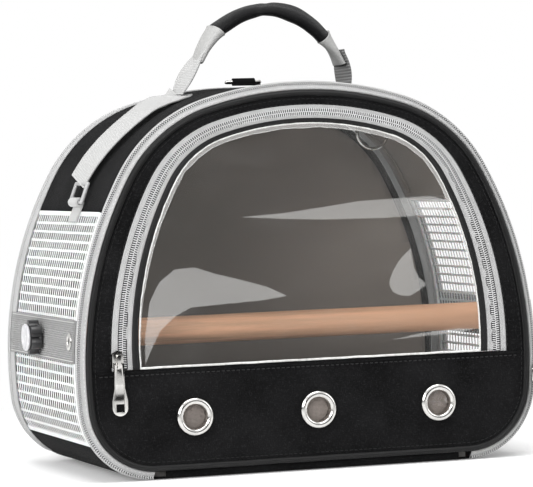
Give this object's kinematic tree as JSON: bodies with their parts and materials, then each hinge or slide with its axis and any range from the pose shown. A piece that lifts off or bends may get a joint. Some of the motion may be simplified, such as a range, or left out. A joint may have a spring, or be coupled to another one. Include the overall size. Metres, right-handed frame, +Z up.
{
  "type": "bird travel carrier",
  "caption": "Soft-sided D-shaped travel carrier for a small bird, with a clear zipped window, net sides, a wooden perch and a top handle.",
  "frame": {"origin": "centre of the base's underside, on the floor", "axes": "+Z up, -Y out of the window side (front), +X to the right seen from the front"},
  "size_m": [0.398, 0.219, 0.3628],
  "materials": {
    "black_fabric": "heathered weave",
    "piping": "tight weave over cord",
    "lining": "smooth grey lining",
    "board": "fabric-covered stiff board",
    "net": "coated woven mesh",
    "webbing": "ribbed webbing",
    "zip_tape": "woven tape with nylon coil",
    "bright_metal": "polished plating",
    "brass": "satin",
    "wood": "sanded dowel",
    "clear_sheet": "clear flexible sheet",
    "welt": "soft clear piping",
    "black_plastic": "moulded",
    "grey_plastic": "moulded"
  },
  "bodies": {
    "shell": {"base_cover": "black_fabric", "base_board": "board", "top_panel": "black_fabric", "top_lining": "lining", "side_net_left": "net", "side_net_right": "net", "side_band_left": "webbing", "side_band_right": "webbing", "band_eyelet_left": "bright_metal", "band_eyelet_right": "bright_metal", "front_zip_shell_half": "zip_tape", "rear_zip_shell_half": "zip_tape", "front_hinge_fold": "black_fabric", "rear_hinge_fold": "black_fabric", "anchor_loop_left": "webbing", "anchor_loop_right": "webbing", "lower_strap_left": "webbing", "lower_strap_right": "webbing", "top_ring_tab": "black_fabric", "inner_ring_tab": "lining", "perch": "wood", "perch_inserts": "brass", "inner_washers": "bright_metal", "outer_washers": "bright_metal"},
    "front_door": {"front_frame": "black_fabric", "front_lower_panel": "black_fabric", "front_lining": "lining", "front_piping": "piping", "front_zip_door_half": "zip_tape", "window_zip_fixed_half": "zip_tape", "vent_eyelets": "bright_metal", "vent_washers": "bright_metal"},
    "window": {"window_pane": "clear_sheet", "window_welt": "welt", "window_binding": "piping", "window_zip_flap_half": "zip_tape"},
    "rear_door": {"rear_panel": "black_fabric", "rear_lining": "lining", "rear_piping": "piping", "rear_zip_door_half": "zip_tape"},
    "handle": {"grip": "black_fabric", "grip_sleeves": "webbing", "upper_strap_left": "webbing", "upper_strap_right": "webbing"},
    "window_slider_body": {"window_slider": "bright_metal"},
    "window_pull_body": {"window_pull": "bright_metal"},
    "front_slider_body": {"front_slider": "bright_metal"},
    "front_pull_body": {"front_pull": "bright_metal"},
    "rear_slider_body": {"rear_slider": "bright_metal"},
    "rear_pull_body": {"rear_pull": "bright_metal"},
    "knob_left_body": {"knob_left": "black_plastic"},
    "knob_right_body": {"knob_right": "black_plastic"},
    "strap_ring_left_body": {"strap_ring_left": "grey_plastic"},
    "strap_ring_right_body": {"strap_ring_right": "grey_plastic"},
    "top_ring_body": {"top_ring": "bright_metal"},
    "inner_ring_body": {"inner_ring": "bright_metal"}
  },
  "joints": [
    {"name": "front_door_fold", "type": "hinge", "parent": "shell", "child": "front_door", "pos_m": [0, -0.098, 0.0066], "axis": [1, 0, 0], "range_deg": [0, 85]},
    {"name": "rear_door_fold", "type": "hinge", "parent": "shell", "child": "rear_door", "pos_m": [0, 0.098, 0.0066], "axis": [-1, 0, 0], "range_deg": [0, 85]},
    {"name": "window_fold", "type": "hinge", "parent": "front_door", "child": "window", "pos_m": [0, -0.1026, 0.0836], "axis": [1, 0, 0], "range_deg": [0, 110]},
    {"name": "window_slider_run", "type": "hinge", "parent": "front_door", "child": "window_slider_body", "pos_m": [0.12, -0.104, 0.09223], "axis": [0, 1, 0], "range_deg": [0, 26]},
    {"name": "window_pull_swing", "type": "hinge", "parent": "window_slider_body", "child": "window_pull_body", "pos_m": [-0.15629, -0.1083, 0.0882], "axis": [-1, 0, -0.0026], "range_deg": [0, 105]},
    {"name": "front_slider_run", "type": "hinge", "parent": "front_door", "child": "front_slider_body", "pos_m": [-0.12, -0.102, 0.0824], "axis": [0, -1, 0], "range_deg": [0, 30]},
    {"name": "front_pull_swing", "type": "hinge", "parent": "front_slider_body", "child": "front_pull_body", "pos_m": [0.18723, -0.1036, 0.06042], "axis": [-0.7058, -0.7071, 0.0429], "range_deg": [0, 105]},
    {"name": "rear_slider_run", "type": "hinge", "parent": "rear_door", "child": "rear_slider_body", "pos_m": [-0.12, 0.102, 0.0824], "axis": [0, -1, 0], "range_deg": [0, 30]},
    {"name": "rear_pull_swing", "type": "hinge", "parent": "rear_slider_body", "child": "rear_pull_body", "pos_m": [0.18723, 0.1036, 0.06042], "axis": [0.7058, -0.7071, -0.0429], "range_deg": [0, 105]},
    {"name": "knob_left_turn", "type": "hinge", "parent": "shell", "child": "knob_left_body", "pos_m": [-0.19099, 0, 0.106], "axis": [1, 0, 0], "continuous": true},
    {"name": "knob_right_turn", "type": "hinge", "parent": "shell", "child": "knob_right_body", "pos_m": [0.19099, 0, 0.106], "axis": [1, 0, 0], "continuous": true},
    {"name": "handle_tilt", "type": "hinge", "parent": "shell", "child": "handle", "pos_m": [0, 0, 0.29049], "axis": [1, 0, 0], "range_deg": [-60, 60], "deforming": ["upper_strap_left", "upper_strap_right"]},
    {"name": "strap_ring_left_play", "type": "hinge", "parent": "shell", "child": "strap_ring_left_body", "pos_m": [-0.16294, -0.028, 0.20956], "axis": [0, -1, 0], "range_deg": [-4, 4]},
    {"name": "strap_ring_right_play", "type": "hinge", "parent": "shell", "child": "strap_ring_right_body", "pos_m": [0.16294, -0.028, 0.20956], "axis": [0, 1, 0], "range_deg": [-4, 4]},
    {"name": "top_ring_lift", "type": "hinge", "parent": "shell", "child": "top_ring_body", "pos_m": [-0.015, 0, 0.2998], "axis": [1, 0, 0], "range_deg": [-5, 100]},
    {"name": "inner_ring_swing", "type": "hinge", "parent": "shell", "child": "inner_ring_body", "pos_m": [0.093, 0, 0.26992], "axis": [1, 0, 0], "range_deg": [-60, 60]}
  ]
}
